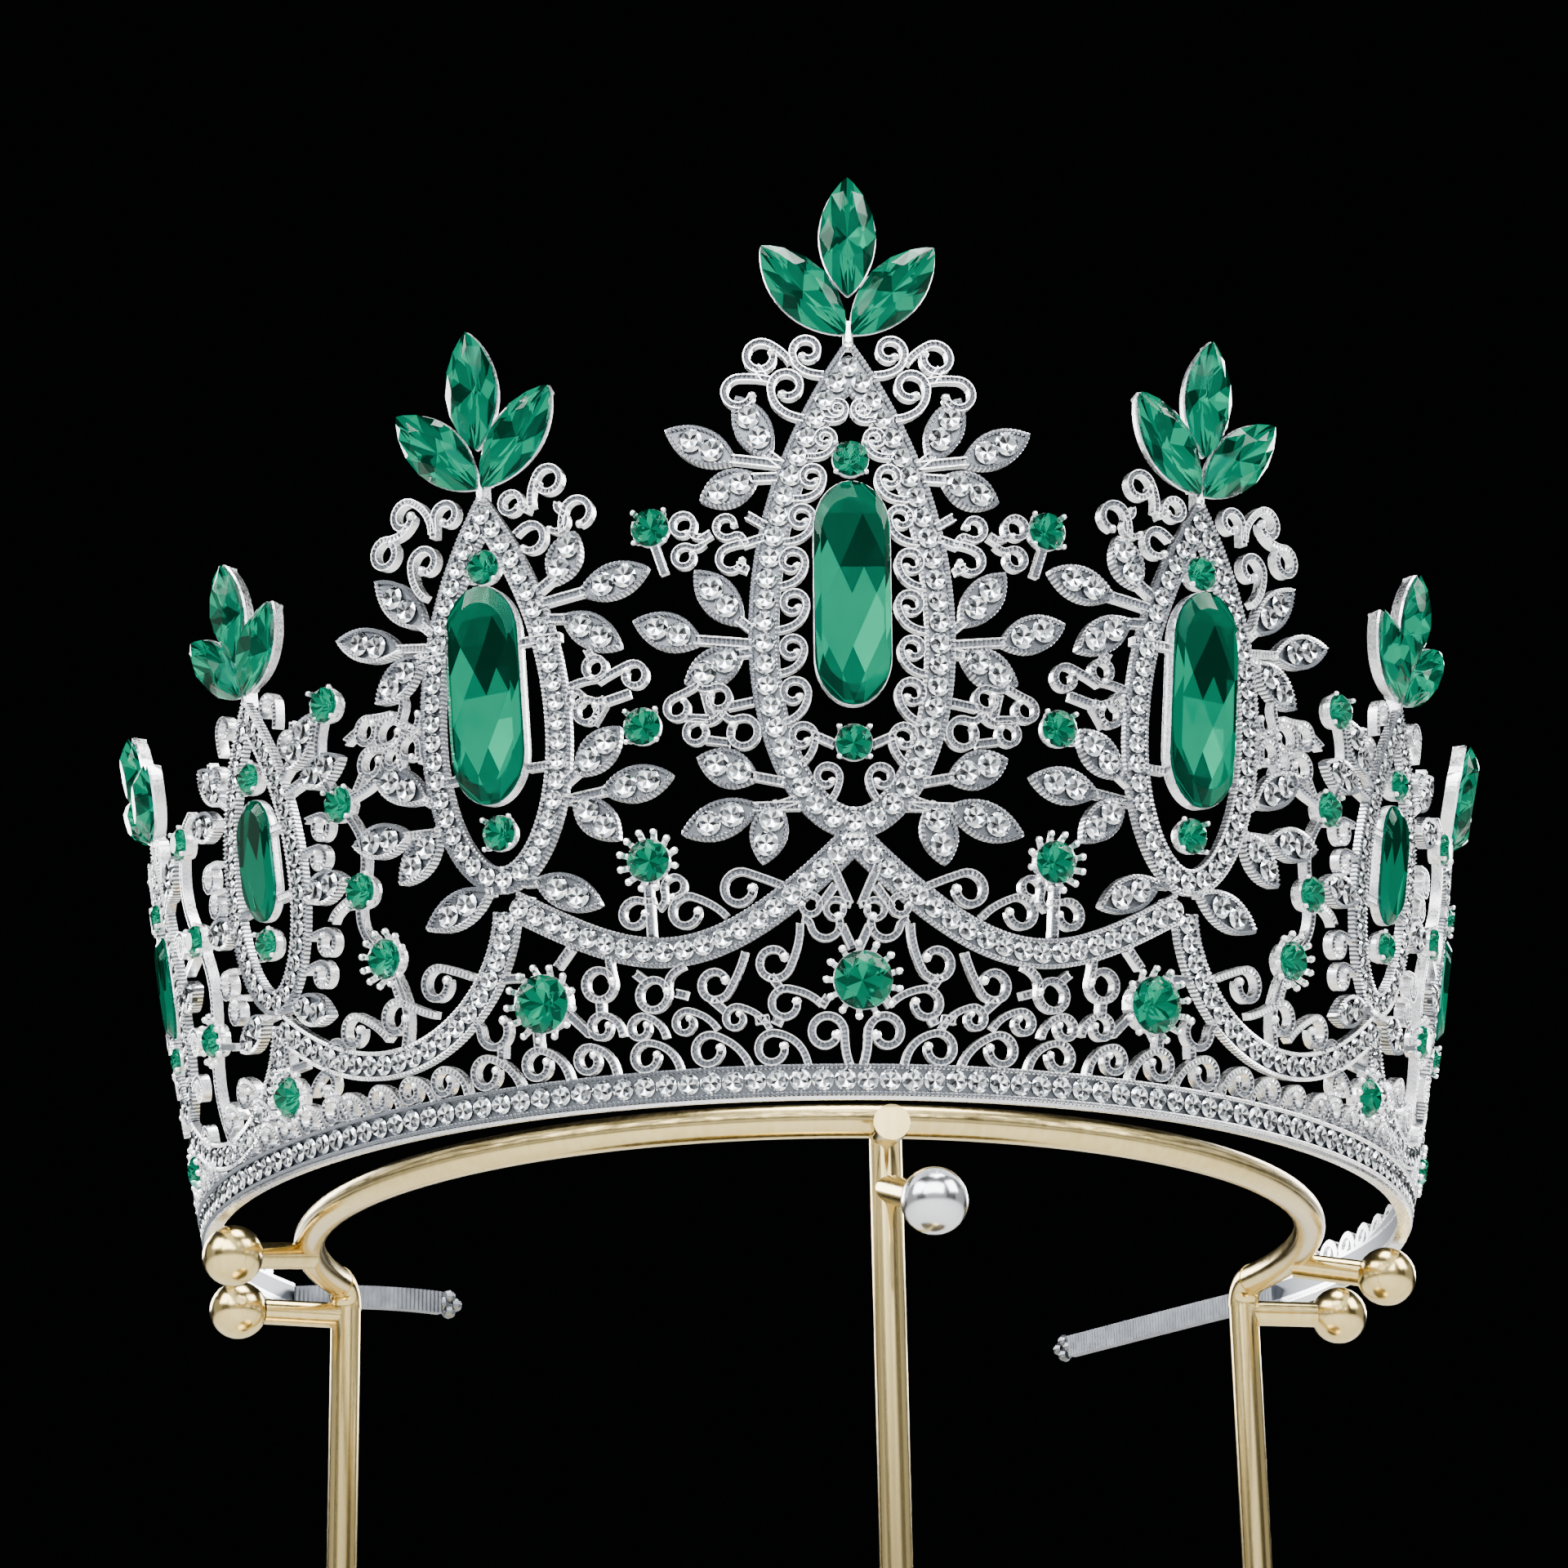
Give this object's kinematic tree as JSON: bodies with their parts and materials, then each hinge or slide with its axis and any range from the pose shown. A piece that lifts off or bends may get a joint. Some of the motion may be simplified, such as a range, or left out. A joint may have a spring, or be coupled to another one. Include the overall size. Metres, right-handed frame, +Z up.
{
  "type": "pageant crown on a display stand",
  "caption": "Tall open-backed crown of silver filigree panels set with green and clear stones, resting on a gold wire display stand.",
  "frame": {"origin": "centre of the stand's base plate, at its underside", "axes": "+Z up along the crown's axis; the crown's front faces -Y; +X is at the right of a viewer who faces the crown's front"},
  "size_m": [0.1812, 0.1708, 0.2594],
  "materials": {
    "silver_plate": "bright silver plate on cast alloy",
    "gold_lacquer": "pale gold plate, polished",
    "emerald_glass": "foil-backed cut glass, emerald green",
    "crystal_glass": "foil-backed cut glass, clear"
  },
  "bodies": {
    "root": {"crown_frame": "silver_plate", "stand_wire": "gold_lacquer", "stand_base": "gold_lacquer", "round_emeralds": "emerald_glass", "leaf_crystals": "crystal_glass", "oval_emerald_1": "emerald_glass", "oval_emerald_2": "emerald_glass", "oval_emerald_3": "emerald_glass", "oval_emerald_4": "emerald_glass", "oval_emerald_5": "emerald_glass", "oval_emerald_6": "emerald_glass", "oval_emerald_7": "emerald_glass", "base_emerald_1": "emerald_glass", "base_emerald_2": "emerald_glass", "base_emerald_3": "emerald_glass", "base_emerald_4": "emerald_glass", "base_emerald_5": "emerald_glass", "base_emerald_6": "emerald_glass", "base_emerald_7": "emerald_glass", "finial_emerald_1_left": "emerald_glass", "finial_emerald_1_top": "emerald_glass", "finial_emerald_1_right": "emerald_glass", "finial_emerald_2_left": "emerald_glass", "finial_emerald_2_top": "emerald_glass", "finial_emerald_2_right": "emerald_glass", "finial_emerald_3_left": "emerald_glass", "finial_emerald_3_top": "emerald_glass", "finial_emerald_3_right": "emerald_glass", "finial_emerald_4_left": "emerald_glass", "finial_emerald_4_top": "emerald_glass", "finial_emerald_4_right": "emerald_glass", "finial_emerald_5_left": "emerald_glass", "finial_emerald_5_top": "emerald_glass", "finial_emerald_5_right": "emerald_glass", "finial_emerald_6_left": "emerald_glass", "finial_emerald_6_top": "emerald_glass", "finial_emerald_6_right": "emerald_glass", "finial_emerald_7_left": "emerald_glass", "finial_emerald_7_top": "emerald_glass", "finial_emerald_7_right": "emerald_glass"}
  },
  "joints": []
}
